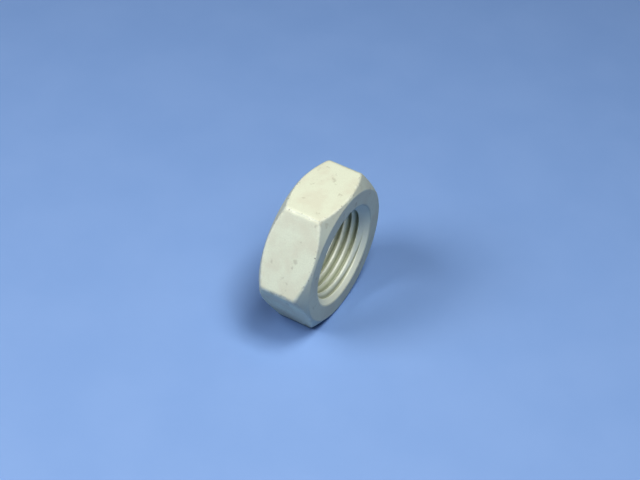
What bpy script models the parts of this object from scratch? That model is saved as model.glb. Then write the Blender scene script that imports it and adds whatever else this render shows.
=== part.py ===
"""Thin hex nut (jam nut) with a fine right-hand thread, 7/8-14 UNF, 33 mm across its flats.

Metres, +Z up. The nut stands on one of its wrench flats, so its bore runs along Y. The origin is
on the surface that it stands on, under the middle of the nut, and -Y is the front face.
The real nut is one solid piece: a slice of hexagonal bar, turned at both ends and tapped through.
"""
from math import cos, pi, radians, sin, sqrt, tan

import bmesh
import bpy

# Driving dimensions
INCH = 0.0254
ACROSS_FLATS = 0.033
THICKNESS = 0.0128
THREAD_DIAMETER = INCH * 7 / 8
THREAD_PITCH = INCH / 14
FACE_DIAMETER = 0.0318
CHAMFER_ANGLE = radians(35)
COUNTERSINK_DIAMETER = 0.0244
COUNTERSINK_ANGLE = radians(45)

# How far the thread's first whole root lies behind the front face, on the +X side
FIRST_ROOT_DEPTH = 0.0028

# Basic profile of the thread: a sharp 60 degree triangle with its crest and root cut flat
SHARP_HEIGHT = THREAD_PITCH * sqrt(3) / 2
ROOT_RADIUS = THREAD_DIAMETER / 2
CREST_RADIUS = ROOT_RADIUS - SHARP_HEIGHT * 5 / 8
CREST_FLAT = THREAD_PITCH / 4
ROOT_FLAT = THREAD_PITCH / 8
FLANK = (THREAD_PITCH - CREST_FLAT - ROOT_FLAT) / 2
ROOT_MIDDLE = CREST_FLAT + FLANK + ROOT_FLAT / 2

# How finely the round shapes are faceted
TURNED_SEGMENTS = 96
THREAD_SEGMENTS = 48

CORNER_RADIUS = ACROSS_FLATS / sqrt(3)
PAST_THE_NUT = 0.001


def clear_scene():
    for scene_object in list(bpy.data.objects):
        bpy.data.objects.remove(scene_object, do_unlink=True)


def add_object(name, shape):
    """Turn a bmesh into a scene object."""
    bmesh.ops.recalc_face_normals(shape, faces=shape.faces)
    mesh = bpy.data.meshes.new(name)
    shape.to_mesh(mesh)
    shape.free()
    scene_object = bpy.data.objects.new(name, mesh)
    bpy.context.scene.collection.objects.link(scene_object)
    return scene_object


def make_hex_bar(name):
    """A slice of hexagonal bar along Z, with two of its corners on the X axis."""
    shape = bmesh.new()
    corners = []
    for side in range(6):
        angle = side * pi / 3
        corner = (CORNER_RADIUS * cos(angle), CORNER_RADIUS * sin(angle), -THICKNESS / 2)
        corners.append(shape.verts.new(corner))
    base = shape.faces.new(corners)
    raised = bmesh.ops.extrude_face_region(shape, geom=[base])["geom"]
    top_corners = [item for item in raised if isinstance(item, bmesh.types.BMVert)]
    bmesh.ops.translate(shape, verts=top_corners, vec=(0, 0, THICKNESS))
    return add_object(name, shape)


def make_turned_envelope(name):
    """What the lathe leaves: two flat faces, a chamfer cone round each, a countersink in each."""
    half = THICKNESS / 2
    face_radius = FACE_DIAMETER / 2
    outer_radius = CORNER_RADIUS + PAST_THE_NUT
    chamfer_depth = (outer_radius - face_radius) * tan(CHAMFER_ANGLE)
    sink_radius = COUNTERSINK_DIAMETER / 2
    floor_radius = CREST_RADIUS - PAST_THE_NUT
    sink_depth = (sink_radius - floor_radius) * tan(COUNTERSINK_ANGLE)
    upper_half = [
        (outer_radius, half - chamfer_depth),
        (face_radius, half),
        (sink_radius, half),
        (floor_radius, half - sink_depth),
        (0, half - sink_depth),
    ]
    lower_half = [(radius, -height) for radius, height in reversed(upper_half)]
    profile = upper_half + lower_half
    shape = bmesh.new()
    points = [shape.verts.new((radius, 0, height)) for radius, height in profile]
    edges = [shape.edges.new(pair) for pair in zip(points, points[1:] + points[:1])]
    edges = [edge for edge in edges if max(vert.co.x for vert in edge.verts) > 0]
    bmesh.ops.spin(shape, geom=points + edges, cent=(0, 0, 0), axis=(0, 0, 1), angle=2 * pi,
                   steps=TURNED_SEGMENTS, use_merge=True)
    bmesh.ops.remove_doubles(shape, verts=shape.verts, dist=1e-7)
    loose_edges = [edge for edge in shape.edges if not edge.link_faces]
    bmesh.ops.delete(shape, geom=loose_edges, context="EDGES")
    return add_object(name, shape)


def make_tap(name):
    """The right-hand threaded rod whose shape the tapped hole has."""
    pitch_profile = [
        (CREST_RADIUS, 0),
        (CREST_RADIUS, CREST_FLAT),
        (ROOT_RADIUS, CREST_FLAT + FLANK),
        (ROOT_RADIUS, CREST_FLAT + FLANK + ROOT_FLAT),
    ]
    turns = int(THICKNESS / THREAD_PITCH) + 6
    first_root_height = THICKNESS / 2 - FIRST_ROOT_DEPTH
    start_height = first_root_height - ROOT_MIDDLE - (turns - 5) * THREAD_PITCH
    shape = bmesh.new()
    rows = []
    for step in range(turns * THREAD_SEGMENTS + 1):
        angle = 2 * pi * step / THREAD_SEGMENTS
        rise = start_height + THREAD_PITCH * step / THREAD_SEGMENTS
        rows.append([
            shape.verts.new((radius * cos(angle), radius * sin(angle), rise + height))
            for radius, height in pitch_profile
        ])
    # Each turn's profile ends where the next turn's begins, so the turns share those points.
    for step in range((turns - 1) * THREAD_SEGMENTS + 1):
        rows[step].append(rows[step + THREAD_SEGMENTS][0])
    last_step = (turns - 1) * THREAD_SEGMENTS
    for row, next_row in zip(rows[:last_step], rows[1:last_step + 1]):
        for index in range(len(pitch_profile)):
            shape.faces.new((row[index], next_row[index], next_row[index + 1], row[index + 1]))
    spare = [vert for vert in shape.verts if not vert.link_faces]
    bmesh.ops.delete(shape, geom=spare, context="VERTS")
    close_end(shape, rows[0][0].co.z - PAST_THE_NUT)
    close_end(shape, rows[last_step][-1].co.z + PAST_THE_NUT)
    return add_object(name, shape)


def close_end(shape, height):
    """Close one open end of the rod with a fan of faces to a point on its axis."""
    tip = shape.verts.new((0, 0, height))
    rim = [edge for edge in shape.edges if edge.is_boundary]
    middle = sum(vert.co.z for vert in shape.verts) / len(shape.verts)
    for edge in rim:
        edge_height = (edge.verts[0].co.z + edge.verts[1].co.z) / 2
        if (edge_height > middle) == (height > middle):
            shape.faces.new((edge.verts[0], edge.verts[1], tip))


def apply_boolean(target, tool, operation):
    """Combine the target with the tool for good, and take the tool away."""
    modifier = target.modifiers.new(operation.lower(), "BOOLEAN")
    modifier.operation = operation
    modifier.solver = "EXACT"
    modifier.object = tool
    bpy.context.view_layer.update()
    evaluated = target.evaluated_get(bpy.context.evaluated_depsgraph_get())
    mesh = bpy.data.meshes.new_from_object(evaluated)
    target.modifiers.clear()
    target.data = mesh
    bpy.data.objects.remove(tool, do_unlink=True)


def shade(nut):
    nut.data.shade_smooth()
    nut.data.set_sharp_from_angle(angle=radians(25))


def make_coating_material():
    """A matt pale grey zinc flake coating over steel."""
    material = bpy.data.materials.new("zinc_flake_coating")
    material.use_nodes = True
    surface = material.node_tree.nodes["Principled BSDF"]
    surface.inputs["Base Color"].default_value = (0.55, 0.56, 0.50, 1)
    surface.inputs["Metallic"].default_value = 0.35
    surface.inputs["Roughness"].default_value = 0.6
    return material


def make_hex_nut():
    nut = make_hex_bar("hex_nut")
    apply_boolean(nut, make_turned_envelope("turned_envelope"), "INTERSECT")
    apply_boolean(nut, make_tap("tap"), "DIFFERENCE")
    shade(nut)
    nut.data.materials.clear()
    nut.data.materials.append(make_coating_material())
    # Lay the axis along Y, with the nut's lowest flat on the ground.
    nut.rotation_euler = (pi / 2, 0, 0)
    nut.location = (0, 0, ACROSS_FLATS / 2)


clear_scene()
make_hex_nut()
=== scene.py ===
"""Looks of the thin hex nut: a finely modelled nut with a worn zinc flake coating.

Metres, in the CAD model's frame: the nut stands on one flat, its bore runs along Y, -Y is the
front face. The nut's outside is a grid of columns round its rim and rings from the back
countersink over the outside to the front one. Its thread is one helical sheet, joined to that
grid inside both countersinks. Wear is in the mesh and in its material, and its places are random.
"""

from math import cos, pi, radians, sin, sqrt, tan

import bmesh
import bpy
import numpy as np
from mathutils import Matrix, Vector, noise


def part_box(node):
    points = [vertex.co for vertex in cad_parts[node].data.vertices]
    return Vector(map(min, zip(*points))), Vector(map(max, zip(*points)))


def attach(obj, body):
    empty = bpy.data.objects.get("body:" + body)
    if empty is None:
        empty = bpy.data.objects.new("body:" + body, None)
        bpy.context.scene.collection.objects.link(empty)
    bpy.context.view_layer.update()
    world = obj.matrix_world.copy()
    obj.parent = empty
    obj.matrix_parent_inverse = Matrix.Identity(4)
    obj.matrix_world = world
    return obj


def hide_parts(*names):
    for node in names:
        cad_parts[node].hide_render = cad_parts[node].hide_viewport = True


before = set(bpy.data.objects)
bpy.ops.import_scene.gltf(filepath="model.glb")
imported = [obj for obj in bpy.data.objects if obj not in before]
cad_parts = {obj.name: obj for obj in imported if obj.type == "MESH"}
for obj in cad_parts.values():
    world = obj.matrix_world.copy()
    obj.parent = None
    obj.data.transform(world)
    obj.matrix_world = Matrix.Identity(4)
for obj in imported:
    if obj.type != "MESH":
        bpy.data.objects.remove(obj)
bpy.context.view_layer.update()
NUT_LOW, NUT_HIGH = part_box("hex_nut")

# The nut's own sizes: across flats, thickness and centre from the frame, the others those of its
# 7/8-14 UNF thread and of the rings that its chamfers and countersinks leave
INCH = 0.0254
ACROSS_FLATS = NUT_HIGH.z - NUT_LOW.z
THICKNESS = NUT_HIGH.y - NUT_LOW.y
CENTRE = (NUT_LOW + NUT_HIGH) / 2
THREAD_PITCH = INCH / 14
ROOT_RADIUS = INCH * 7 / 16
CREST_RADIUS = ROOT_RADIUS - THREAD_PITCH * sqrt(3) / 2 * 5 / 8
# How far the thread's first whole root lies behind the front face, on the +X side
FIRST_ROOT_DEPTH = 0.0028
FACE_RADIUS = 0.0159
CHAMFER_ANGLE = radians(35)
CHAMFER_SLOPE = tan(CHAMFER_ANGLE)
SINK_RADIUS = 0.0122

# Rounding of the edges. The rim between a flat and a chamfer is rounder towards the corners.
CORNER_ROUNDING = 0.00130
RIM_ROUNDING = 0.00045
RIM_ROUNDING_GROWTH = 0.35
FACE_ROUNDING = 0.00045
SINK_ROUNDING = 0.00050
CREST_ROUNDING = 0.00006
ROOT_ROUNDING = 0.00010
SINK_THREAD_ROUNDING = 0.00006

# How finely the shapes are meshed
FLAT_COLUMNS = 72
CORNER_COLUMNS = 6
FLAT_RINGS = 34
CHAMFER_RINGS = 9
FACE_RINGS = 9
EDGE_STEPS = 4
THREAD_EDGE_STEPS = 2
THREAD_COLUMNS = 240

# The thread's sheet starts so many turns before its first whole root. It has so many turns more
# than the nut's thickness holds, and what stands out past the countersinks is cut off.
TURNS_BEFORE_FIRST_ROOT = 3.5
SPARE_TURNS = 5

# The outside grid ends this far inside each face, and the thread's sheet begins this far inside
GRID_END_DEPTH = 0.00035
SHEET_START_DEPTH = 0.00050

# Wear: sizes are in metres, and two values are the least and the most. HIGHEST_BURR is how far
# the metal between nicks may rise, as a share of WORN_EDGE_DEPTH.
WEAR_SEED = 11
FAINTEST_EDGE_WEAR = 0.02
HIGHEST_BURR = 0.2
WORN_EDGE_WIDTH = 0.0003
WORN_EDGE_DEPTH = 0.000035
COARSE_NICK_SIZE = 0.0006
COARSE_NICK_SHARE = 0.6
FINE_NICK_SIZE = 0.0002
FINE_NICK_SHARE = 0.4
UNEVENNESS_SIZE = 0.004
UNEVENNESS_HEIGHT = 0.000008
RIM_DENTS = 90
RIM_DENT_REACH = (0.00025, 0.0007)
RIM_DENT_DEPTH = (0.00002, 0.00010)
CORNER_DENTS = 26
CORNER_DENT_REACH = (0.0003, 0.0008)
CORNER_DENT_DEPTH = (0.00003, 0.00012)

# Limits of the regions that the material tells apart
BORE_EDGE_RADIUS = SINK_RADIUS - 0.0002
THREAD_REGION_RADIUS = ROOT_RADIUS + 0.0001
THREAD_FADE_DEPTH = 0.0002
TURNED_DEPTH = 0.00012
WIDEST_EDGE_GAP = 0.002

# Colours, as linear light
PALE_COATING = (0.72, 0.76, 0.65, 1)
WARM_COATING = (0.68, 0.69, 0.59, 1)
GREY_COATING = (0.60, 0.63, 0.55, 1)
# Greyer, bluish tone of the turned faces and chamfers, partly painted shade and a painted
# reflection of the floor
TURNED_AND_SHADED_COATING = (0.52, 0.57, 0.56, 1)
# Rubbed coating on the edges; also painted light on the bore walls and partly a painted highlight
# on the crests
RUBBED_AND_LIT_COATING = (0.78, 0.81, 0.74, 1)
STAIN = (0.36, 0.35, 0.29, 1)
BARE_STEEL = (0.10, 0.10, 0.09, 1)
# Painted shade for the thread roots
ROOT_SHADE = (0.24, 0.26, 0.17, 1)
FLOOR_COLOUR = (0.31, 0.445, 0.72, 1)
FLOOR_COLOUR_DEEPER = (0.298, 0.433, 0.708, 1)
FLOOR_HALF_WIDTH = 2.0
FLOOR_GAP = 0.00002

# Lights: name, azimuth and elevation in degrees, width in metres, level and colour
LIGHT_DISTANCE = 0.5
LIGHTS = [
    ("top_softbox", 0, 75, 0.18, 0.35, (1.0, 0.985, 0.94)),
    ("front_softbox", -45, 62, 0.24, 0.21, (1.0, 0.99, 0.95)),
    ("left_softbox", 225, 45, 0.24, 0.33, (1.0, 0.965, 0.93)),
    ("low_left_card", 240, 22, 0.30, 0.03, (1.0, 0.95, 0.92)),
]
ROOM_COLOUR = (0.60, 0.78, 1.0, 1)
ROOM_LEVEL = 0.02

# The camera, by its direction from the nut in degrees, its distance in metres and its lens in mm
CAMERA_AZIMUTH = -63.4
CAMERA_ELEVATION = 43.3
CAMERA_ROLL = 4.5
CAMERA_DISTANCE = 0.3365
CAMERA_RISE = 0.00108
CAMERA_LENS = 84.4
CAMERA_CLIP_START = 0.01
CAMERA_CLIP_END = 10


def rounded_outline(points, roundings, steps):
    """The open line through the points, with each of its inner corners replaced by an arc."""
    line = [np.array(points[0], float)]
    for before, corner, after, rounding in zip(points, points[1:], points[2:], roundings):
        before, corner, after = (np.array(point, float) for point in (before, corner, after))
        to_before = (before - corner) / np.linalg.norm(before - corner)
        to_after = (after - corner) / np.linalg.norm(after - corner)
        half_angle = np.arccos(np.clip(to_before @ to_after, -1, 1)) / 2
        reach = rounding / tan(half_angle)
        bisector = (to_before + to_after) / np.linalg.norm(to_before + to_after)
        arc_centre = corner + bisector * rounding / sin(half_angle)
        first = corner + to_before * reach - arc_centre
        last = corner + to_after * reach - arc_centre
        for step in range(steps + 1):
            blend = step / steps
            turn = pi - 2 * half_angle
            part = sin((1 - blend) * turn) * first + sin(blend * turn) * last
            line.append(arc_centre + part / sin(turn))
    line.append(np.array(points[-1], float))
    return line


def rim_columns():
    """Points round the hexagon with rounded corners, as offsets (x, z) from the bore's axis."""
    half_side = (ACROSS_FLATS / 2 - CORNER_ROUNDING) * tan(radians(30))
    columns = []
    for side in range(6):
        facing = radians(30 + 60 * side)
        outward = np.array([cos(facing), sin(facing)])
        along = np.array([-sin(facing), cos(facing)])
        for step in range(FLAT_COLUMNS):
            offset = half_side * (2 * step / FLAT_COLUMNS - 1)
            columns.append(outward * ACROSS_FLATS / 2 + along * offset)
        arc_centre = outward * (ACROSS_FLATS / 2 - CORNER_ROUNDING) + along * half_side
        for step in range(CORNER_COLUMNS):
            angle = facing + radians(60) * step / CORNER_COLUMNS
            columns.append(arc_centre + CORNER_ROUNDING * np.array([cos(angle), sin(angle)]))
    return columns


def spread(start, end, count):
    """Points strictly between two others."""
    return [start + (end - start) * step / (count + 1) for step in range(1, count + 1)]


def column_profile(rim_radius):
    """The nut's section in one plane through its axis, as (radius, offset along Y).

    It runs from inside the back countersink, over the outside, to inside the front one.
    """
    half = THICKNESS / 2
    rim_half = half - (rim_radius - FACE_RADIUS) * CHAMFER_SLOPE
    corners = [
        (SINK_RADIUS - GRID_END_DEPTH, half - GRID_END_DEPTH),
        (SINK_RADIUS, half),
        (FACE_RADIUS, half),
        (rim_radius, rim_half),
    ]
    corners += [(radius, -offset) for radius, offset in reversed(corners)]
    rim_rounding = RIM_ROUNDING + RIM_ROUNDING_GROWTH * (rim_radius - ACROSS_FLATS / 2)
    roundings = [SINK_ROUNDING, FACE_ROUNDING, rim_rounding]
    line = rounded_outline(corners, roundings + roundings[::-1], EDGE_STEPS)
    rings_between = [1, FACE_RINGS, CHAMFER_RINGS, FLAT_RINGS, CHAMFER_RINGS, FACE_RINGS, 1]
    arc_length = EDGE_STEPS + 1
    rings = [line[0]]
    for index, count in enumerate(rings_between):
        last_point = index * arc_length
        rings += spread(line[last_point], line[last_point + 1], count)
        rings += line[last_point + 1:last_point + 1 + arc_length]
    return rings


def add_outside(shape):
    """Add the grid over the outside of the nut."""
    columns = []
    for x, z in rim_columns():
        rim_radius = sqrt(x * x + z * z)
        column = []
        for radius, offset in column_profile(rim_radius):
            scale = radius / rim_radius
            column.append(shape.verts.new((x * scale, offset, z * scale)))
        columns.append(column)
    for column, next_column in zip(columns, columns[1:] + columns[:1]):
        for index in range(len(column) - 1):
            shape.faces.new((column[index], column[index + 1],
                             next_column[index + 1], next_column[index]))


def sink_wall(offset):
    """Radius of the 45 degree countersinks at an offset along Y."""
    return SINK_RADIUS - (THICKNESS / 2 - abs(offset))


def larger_smoothly(first, second, softness):
    """The larger of two lengths, with the step between them rounded."""
    gap = max(softness - abs(first - second), 0) / softness
    return max(first, second) + gap * gap * softness / 4


def pitch_profile():
    """One pitch of the thread as (radius, offset along Y), with crest and root rounded."""
    half_crest, half_root = THREAD_PITCH / 8, THREAD_PITCH / 16
    middle = THREAD_PITCH / 2
    corners = [
        (CREST_RADIUS, 0),
        (CREST_RADIUS, half_crest),
        (ROOT_RADIUS, middle - half_root),
        (ROOT_RADIUS, middle + half_root),
        (CREST_RADIUS, THREAD_PITCH - half_crest),
        (CREST_RADIUS, THREAD_PITCH),
    ]
    roundings = [CREST_ROUNDING, ROOT_ROUNDING / 2, ROOT_ROUNDING / 2, CREST_ROUNDING]
    line = rounded_outline(corners, roundings, THREAD_EDGE_STEPS)
    # One more point in the middle of each flank. The next pitch begins with the last point.
    first_flank = [(line[3] + line[4]) / 2]
    second_flank = [(line[9] + line[10]) / 2]
    return line[:4] + first_flank + line[4:10] + second_flank + line[10:-1]


def add_thread(shape):
    """Add the right-hand thread and both countersinks' walls, as one helical sheet."""
    profile = pitch_profile()
    turns = int(THICKNESS / THREAD_PITCH) + SPARE_TURNS
    first_root = FIRST_ROOT_DEPTH - THICKNESS / 2
    start = first_root - TURNS_BEFORE_FIRST_ROOT * THREAD_PITCH
    rows = []
    for step in range(turns * THREAD_COLUMNS + 1):
        angle = -2 * pi * step / THREAD_COLUMNS
        rise = start + THREAD_PITCH * step / THREAD_COLUMNS
        row = []
        for radius, offset in profile:
            y = rise + offset
            radius = larger_smoothly(radius, sink_wall(y), SINK_THREAD_ROUNDING)
            row.append(shape.verts.new((radius * cos(angle), y, radius * sin(angle))))
        rows.append(row)
    # Each turn's profile ends where the next turn's begins, so the turns share those points
    last = (turns - 1) * THREAD_COLUMNS
    for step in range(last + 1):
        rows[step].append(rows[step + THREAD_COLUMNS][0])
    for row, next_row in zip(rows[:last], rows[1:last + 1]):
        for index in range(len(profile)):
            shape.faces.new((row[index], row[index + 1], next_row[index + 1], next_row[index]))
    spare = [vert for vert in shape.verts if not vert.link_faces]
    bmesh.ops.delete(shape, geom=spare, context="VERTS")
    sheet_end = THICKNESS / 2 - SHEET_START_DEPTH
    for side in (1, -1):
        everything = shape.verts[:] + shape.edges[:] + shape.faces[:]
        bmesh.ops.bisect_plane(shape, geom=everything, dist=1e-9, plane_co=(0, side * sheet_end, 0),
                               plane_no=(0, side, 0), clear_outer=True)


def make_nut_shape():
    """The whole closed shape, with its centre at the origin."""
    shape = bmesh.new()
    add_thread(shape)
    add_outside(shape)
    for side in (1, -1):
        rim = [edge for edge in shape.edges
               if edge.is_boundary and edge.verts[0].co.y * side > 0]
        bmesh.ops.bridge_loops(shape, edges=rim)
    bmesh.ops.recalc_face_normals(shape, faces=shape.faces)
    return shape


def flat_directions():
    """The way out of each wrench flat, as (x, z)."""
    facings = [radians(30 + 60 * side) for side in range(6)]
    return np.array([(cos(facing), sin(facing)) for facing in facings])


def edge_gaps(points):
    """How far each point is from the nearest edge of a wrench flat, at most WIDEST_EDGE_GAP."""
    radius = np.hypot(points[:, 0], points[:, 2])
    depth = THICKNESS / 2 - np.abs(points[:, 1])
    surfaces = [(depth - (radius - FACE_RADIUS) * CHAMFER_SLOPE) * cos(CHAMFER_ANGLE)]
    for reach in (points[:, [0, 2]] @ flat_directions().T).T:
        surfaces.append(ACROSS_FLATS / 2 - reach)
    second_nearest = np.sort(np.abs(np.array(surfaces)), axis=0)[1]
    return np.minimum(second_nearest, WIDEST_EDGE_GAP)


def rim_point(side, along, face):
    """A point on the edge between a flat and a chamfer, and the way into the metal from it."""
    facing = radians(30 + 60 * side)
    half_side = ACROSS_FLATS / 2 * tan(radians(30))
    x = ACROSS_FLATS / 2 * cos(facing) - along * half_side * sin(facing)
    z = ACROSS_FLATS / 2 * sin(facing) + along * half_side * cos(facing)
    rim_half = THICKNESS / 2 - (sqrt(x * x + z * z) - FACE_RADIUS) * CHAMFER_SLOPE
    inward = np.array([-cos(facing), -0.5 * face, -sin(facing)])
    return np.array([x, rim_half * face, z]), inward / np.linalg.norm(inward)


def corner_point(corner, along):
    """A point on the edge between two flats, and the way into the metal from it."""
    facing = radians(60 * corner)
    radius = ACROSS_FLATS / sqrt(3)
    rim_half = THICKNESS / 2 - (radius - FACE_RADIUS) * CHAMFER_SLOPE
    outward = np.array([cos(facing), 0, sin(facing)])
    return outward * radius + np.array([0, along * rim_half, 0]), -outward


def press_dent(points, centre, inward, reach, depth):
    """Push the points near a centre inwards."""
    distance = np.linalg.norm(points - centre, axis=1)
    weight = np.clip(1 - (distance / reach) ** 2, 0, 1) ** 2
    points += weight[:, None] * inward * depth


def field(points, size, offset):
    """Smooth noise, about -1 to 1, whose bumps are about so large."""
    return np.array([noise.noise(Vector(point) / size + Vector(offset)) for point in points])


def wear_down(points, normals):
    """Move the points for nicked edges, a few dents and the slight unevenness of the surfaces."""
    rng = np.random.default_rng(WEAR_SEED)
    outside = np.hypot(points[:, 0], points[:, 2]) > BORE_EDGE_RADIUS
    near_edge = np.exp(-(edge_gaps(points) / WORN_EDGE_WIDTH) ** 2) * outside
    near = near_edge > FAINTEST_EDGE_WEAR
    coarse_nicks = field(points[near], COARSE_NICK_SIZE, (3, 1, 7))
    fine_nicks = field(points[near], FINE_NICK_SIZE, (8, 5, 2))
    nicks = np.zeros(len(points))
    nicks[near] = coarse_nicks * COARSE_NICK_SHARE + fine_nicks * FINE_NICK_SHARE
    nicks = np.maximum(nicks, -HIGHEST_BURR)
    points -= normals * (near_edge * nicks * WORN_EDGE_DEPTH)[:, None]
    uneven = np.zeros(len(points))
    uneven[outside] = field(points[outside], UNEVENNESS_SIZE, (1, 9, 4))
    points += normals * (uneven * UNEVENNESS_HEIGHT * (1 - near_edge))[:, None]
    for dent in range(RIM_DENTS):
        centre, inward = rim_point(rng.integers(6), rng.uniform(-1, 1), rng.choice([-1, 1]))
        reach, depth = rng.uniform(*RIM_DENT_REACH), rng.uniform(*RIM_DENT_DEPTH)
        press_dent(points, centre, inward, reach, depth)
    for dent in range(CORNER_DENTS):
        centre, inward = corner_point(rng.integers(6), rng.uniform(-1, 1))
        reach, depth = rng.uniform(*CORNER_DENT_REACH), rng.uniform(*CORNER_DENT_DEPTH)
        press_dent(points, centre, inward, reach, depth)


def add_number(mesh, name, values):
    """Store one number at each point of the mesh, for the material to read."""
    attribute = mesh.attributes.new(name, "FLOAT", "POINT")
    attribute.data.foreach_set("value", np.ascontiguousarray(values, np.float32))


def make_nut():
    """The worn nut in its place, with the numbers that its material reads."""
    shape = make_nut_shape()
    shape.normal_update()
    mesh = bpy.data.meshes.new("hex_nut_worn")
    points = np.array([vert.co for vert in shape.verts])
    normals = np.array([vert.normal for vert in shape.verts])
    radius = np.hypot(points[:, 0], points[:, 2])
    past_sink_wall = radius - sink_wall(points[:, 1])
    on_thread = np.clip(past_sink_wall / THREAD_FADE_DEPTH, 0, 1) * (radius < THREAD_REGION_RADIUS)
    thread_depth = (radius - CREST_RADIUS) / (ROOT_RADIUS - CREST_RADIUS)
    flat_reach = np.max(points[:, [0, 2]] @ flat_directions().T, axis=1)
    # The turned faces and chamfers, which the material paints greyer, partly as painted shade
    turned_and_shaded = (flat_reach < ACROSS_FLATS / 2 - TURNED_DEPTH) & (radius > BORE_EDGE_RADIUS)
    gaps = edge_gaps(points)
    wear_down(points, normals)
    for vert, point in zip(shape.verts, points):
        vert.co = Vector(point) + CENTRE
    shape.to_mesh(mesh)
    shape.free()
    mesh.shade_smooth()
    add_number(mesh, "edge_gap_mm", gaps * 1000)
    add_number(mesh, "thread_depth", on_thread * np.clip(thread_depth, 0, 1))
    add_number(mesh, "on_thread", on_thread)
    add_number(mesh, "in_bore", radius < BORE_EDGE_RADIUS)
    add_number(mesh, "turned_and_shaded", turned_and_shaded)
    nut = bpy.data.objects.new("hex_nut_worn", mesh)
    bpy.context.scene.collection.objects.link(nut)
    nut.data.materials.append(coating_material())
    return nut


class Nodes:
    """Short ways to add shader nodes to one material."""

    def __init__(self, name):
        self.material = bpy.data.materials.new(name)
        self.material.use_nodes = True
        self.tree = self.material.node_tree
        self.surface = self.tree.nodes["Principled BSDF"]
        self.place = self.add("ShaderNodeTexCoord").outputs["Object"]

    def add(self, kind, **settings):
        """A new node of this kind."""
        node = self.tree.nodes.new(kind)
        for name, value in settings.items():
            setattr(node, name, value)
        return node

    def feed(self, socket, value):
        """Link the value to the socket, or set it there if it is a constant."""
        if isinstance(value, bpy.types.NodeSocket):
            self.tree.links.new(value, socket)
        else:
            socket.default_value = value

    def noise(self, size, detail, roughness):
        """Noise whose bumps are about so many metres large; 0 to 1, mostly near the middle."""
        node = self.add("ShaderNodeTexNoise")
        self.feed(node.inputs["Vector"], self.place)
        node.inputs["Scale"].default_value = 1 / size
        node.inputs["Detail"].default_value = detail
        node.inputs["Roughness"].default_value = roughness
        return node.outputs["Fac"]

    def number(self, name):
        """A number that the mesh holds at each point."""
        return self.add("ShaderNodeAttribute", attribute_name=name).outputs["Fac"]

    def math(self, operation, first, second):
        """The result of an arithmetic operation on two values."""
        node = self.add("ShaderNodeMath", operation=operation)
        self.feed(node.inputs[0], first)
        self.feed(node.inputs[1], second)
        return node.outputs[0]

    def times(self, first, second):
        """The two values multiplied."""
        return self.math("MULTIPLY", first, second)

    def ramp(self, value, low, high, start=0.0, end=1.0):
        """The value eased from start at low to end at high."""
        node = self.add("ShaderNodeMapRange", interpolation_type="SMOOTHSTEP")
        self.feed(node.inputs["Value"], value)
        node.inputs["From Min"].default_value = low
        node.inputs["From Max"].default_value = high
        node.inputs["To Min"].default_value = start
        node.inputs["To Max"].default_value = end
        return node.outputs["Result"]

    def mix(self, share, first, second):
        """The first colour, with this share of the second in it."""
        node = self.add("ShaderNodeMix", data_type="RGBA")
        self.feed(node.inputs["Factor"], share)
        self.feed(node.inputs[6], first)
        self.feed(node.inputs[7], second)
        return node.outputs[2]


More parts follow.
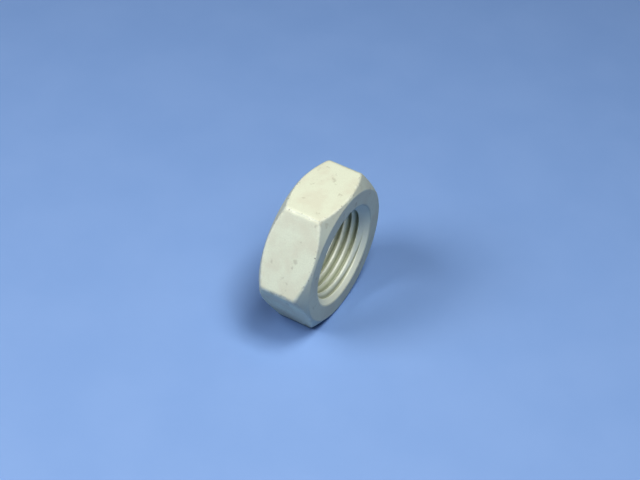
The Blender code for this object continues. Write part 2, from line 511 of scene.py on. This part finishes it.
def coating_material():
    """Matt zinc flake coating: pale, faintly mottled, bright where rubbed, with painted shade in
    the thread roots, painted light on the bore walls, crests painted lighter partly as a painted
    highlight, and faces and chamfers greyer partly as painted shade.
    """
    nodes = Nodes("zinc_flake_coating")
    edge_gap = nodes.number("edge_gap_mm")
    thread_depth = nodes.number("thread_depth")
    on_thread = nodes.number("on_thread")
    in_bore = nodes.number("in_bore")
    turned_and_shaded = nodes.number("turned_and_shaded")

    clouds = nodes.noise(size=0.0045, detail=3.0, roughness=0.55)
    grain = nodes.noise(size=0.00022, detail=2.0, roughness=0.6)
    specks = nodes.noise(size=0.0009, detail=1.0, roughness=0.5)
    patches = nodes.noise(size=0.0026, detail=2.0, roughness=0.6)
    edge_patches = nodes.noise(size=0.0014, detail=2.0, roughness=0.6)
    chips = nodes.noise(size=0.0007, detail=3.0, roughness=0.7)
    chip_runs = nodes.noise(size=0.005, detail=1.0, roughness=0.5)
    lumps = nodes.noise(size=0.0008, detail=3.0, roughness=0.6)

    # The coating itself, cloudy and grainy, and greyer and bluer on the turned faces and chamfers,
    # partly their own finish and partly painted shade and a painted bluish reflection of the floor
    colour = nodes.mix(nodes.ramp(clouds, 0.35, 0.65), PALE_COATING, WARM_COATING)
    colour = nodes.mix(nodes.ramp(grain, 0.3, 0.7, 0.0, 0.35), colour, GREY_COATING)
    colour = nodes.mix(nodes.times(turned_and_shaded, 0.45), colour, TURNED_AND_SHADED_COATING)

    # Small stains
    stain = nodes.times(nodes.ramp(patches, 0.60, 0.72), nodes.ramp(specks, 0.4, 0.65))
    colour = nodes.mix(nodes.times(stain, 0.35), colour, STAIN)

    # Rubbed edges: the rubbed strip is up to 0.42 mm wide, and fades out at its border
    rubbed_width = nodes.times(nodes.ramp(edge_patches, 0.35, 0.7), 0.42)
    past_rubbed = nodes.math("SUBTRACT", edge_gap, rubbed_width)
    rubbed = nodes.math("SUBTRACT", 1.0, nodes.ramp(past_rubbed, -0.05, 0.12))
    colour = nodes.mix(nodes.times(rubbed, 0.4), colour, RUBBED_AND_LIT_COATING)

    # Small chips in runs along the edges
    at_edge = nodes.ramp(edge_gap, 0.55, 0.1)
    chip = nodes.times(nodes.ramp(chips, 0.57, 0.66), at_edge)
    chip = nodes.times(chip, nodes.ramp(chip_runs, 0.46, 0.56))
    colour = nodes.mix(nodes.times(chip, 0.6), colour, BARE_STEEL)

    # The bore: walls painted lighter as painted light, painted shade in the thread roots, and
    # crests painted lighter, partly wear and partly a painted highlight
    # Painted light: the bore's walls are made lighter for the light that falls into it
    colour = nodes.mix(nodes.times(in_bore, 0.7), colour, RUBBED_AND_LIT_COATING)
    # Painted shade: the roots are darkened where the bore's shade falls
    painted_root_shade = nodes.ramp(thread_depth, 0.12, 0.85, 0.0, 0.58)
    colour = nodes.mix(painted_root_shade, colour, ROOT_SHADE)
    # Crests painted lighter: partly wear, partly a painted highlight where they catch the light
    crest = nodes.times(on_thread, nodes.ramp(thread_depth, 0.12, 0.0))
    colour = nodes.mix(nodes.times(crest, 0.8), colour, RUBBED_AND_LIT_COATING)
    nodes.feed(nodes.surface.inputs["Base Color"], colour)

    # Rubbed places are a little smoother and more metallic
    worn = nodes.math("MAXIMUM", nodes.times(rubbed, 0.1), nodes.times(crest, 0.4))
    bright = nodes.math("MAXIMUM", worn, nodes.times(in_bore, 0.15))
    nodes.feed(nodes.surface.inputs["Metallic"], nodes.ramp(bright, 0.0, 1.0, 0.08, 0.75))
    roughness = nodes.ramp(clouds, 0.3, 0.7, 0.64, 0.74)
    roughness = nodes.math("ADD", roughness, nodes.times(bright, -0.30))
    nodes.feed(nodes.surface.inputs["Roughness"], roughness)

    # Fine relief
    bump = nodes.add("ShaderNodeBump")
    bump.inputs["Strength"].default_value = 0.5
    bump.inputs["Distance"].default_value = 0.00004
    nodes.feed(bump.inputs["Height"], nodes.math("ADD", nodes.times(grain, 0.6), lumps))
    nodes.feed(nodes.surface.inputs["Normal"], bump.outputs["Normal"])
    return nodes.material


def floor_material():
    """A plain pale blue desk top, faintly uneven in its colour."""
    nodes = Nodes("pale_floor")
    tone = nodes.ramp(nodes.noise(size=0.02, detail=3.0, roughness=0.5), 0.3, 0.7)
    colour = nodes.mix(tone, FLOOR_COLOUR, FLOOR_COLOUR_DEEPER)
    nodes.feed(nodes.surface.inputs["Base Color"], colour)
    nodes.surface.inputs["Roughness"].default_value = 0.6
    return nodes.material


def make_floor():
    """A wide floor just under the nut."""
    shape = bmesh.new()
    bmesh.ops.create_grid(shape, x_segments=1, y_segments=1, size=FLOOR_HALF_WIDTH)
    mesh = bpy.data.meshes.new("floor")
    shape.to_mesh(mesh)
    shape.free()
    floor = bpy.data.objects.new("floor", mesh)
    bpy.context.scene.collection.objects.link(floor)
    floor.location = (0, 0, NUT_LOW.z - FLOOR_GAP)
    floor.data.materials.append(floor_material())
    return floor


def direction_from(azimuth, elevation):
    """The way from the nut towards a place: azimuth 0 is at -Y and 90 at +X, in degrees."""
    around, up = radians(azimuth), radians(elevation)
    return Vector((sin(around) * cos(up), -cos(around) * cos(up), sin(up)))


def add_area_light(name, azimuth, elevation, width, level, colour):
    """A square light that shines at the nut.

    At level 1 a white surface that faces it is as bright as plain white.
    """
    data = bpy.data.lights.new(name, "AREA")
    data.size = width
    data.energy = level * (pi * LIGHT_DISTANCE) ** 2
    data.color = colour
    light = bpy.data.objects.new(name, data)
    bpy.context.scene.collection.objects.link(light)
    direction = direction_from(azimuth, elevation)
    light.location = CENTRE + direction * LIGHT_DISTANCE
    light.rotation_euler = direction.to_track_quat("Z", "Y").to_euler()


def set_world(colour, strength):
    """Faint light from all round."""
    world = bpy.data.worlds.new("room")
    world.use_nodes = True
    background = world.node_tree.nodes["Background"]
    background.inputs["Color"].default_value = colour
    background.inputs["Strength"].default_value = strength
    bpy.context.scene.world = world


def make_camera():
    """A slightly rolled camera that looks a little above the nut's centre."""
    azimuth, roll = radians(CAMERA_AZIMUTH), radians(CAMERA_ROLL)
    back = direction_from(CAMERA_AZIMUTH, CAMERA_ELEVATION)
    level_right = Vector((cos(azimuth), sin(azimuth), 0))
    level_up = back.cross(level_right)
    right = level_right * cos(roll) + level_up * sin(roll)
    up = back.cross(right)
    data = bpy.data.cameras.new("camera")
    data.lens = CAMERA_LENS
    data.clip_start = CAMERA_CLIP_START
    data.clip_end = CAMERA_CLIP_END
    camera = bpy.data.objects.new("camera", data)
    bpy.context.scene.collection.objects.link(camera)
    place = CENTRE + back * CAMERA_DISTANCE + up * CAMERA_RISE
    facing = Matrix((right, up, back)).transposed().to_4x4()
    camera.matrix_world = Matrix.Translation(place) @ facing
    bpy.context.scene.camera = camera


nut = make_nut()
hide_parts("hex_nut")
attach(nut, "root")
make_floor()
for light in LIGHTS:
    add_area_light(*light)
set_world(ROOM_COLOUR, ROOM_LEVEL)
make_camera()
bpy.context.scene.view_settings.view_transform = "Standard"
bpy.context.scene.view_settings.look = "Very High Contrast"
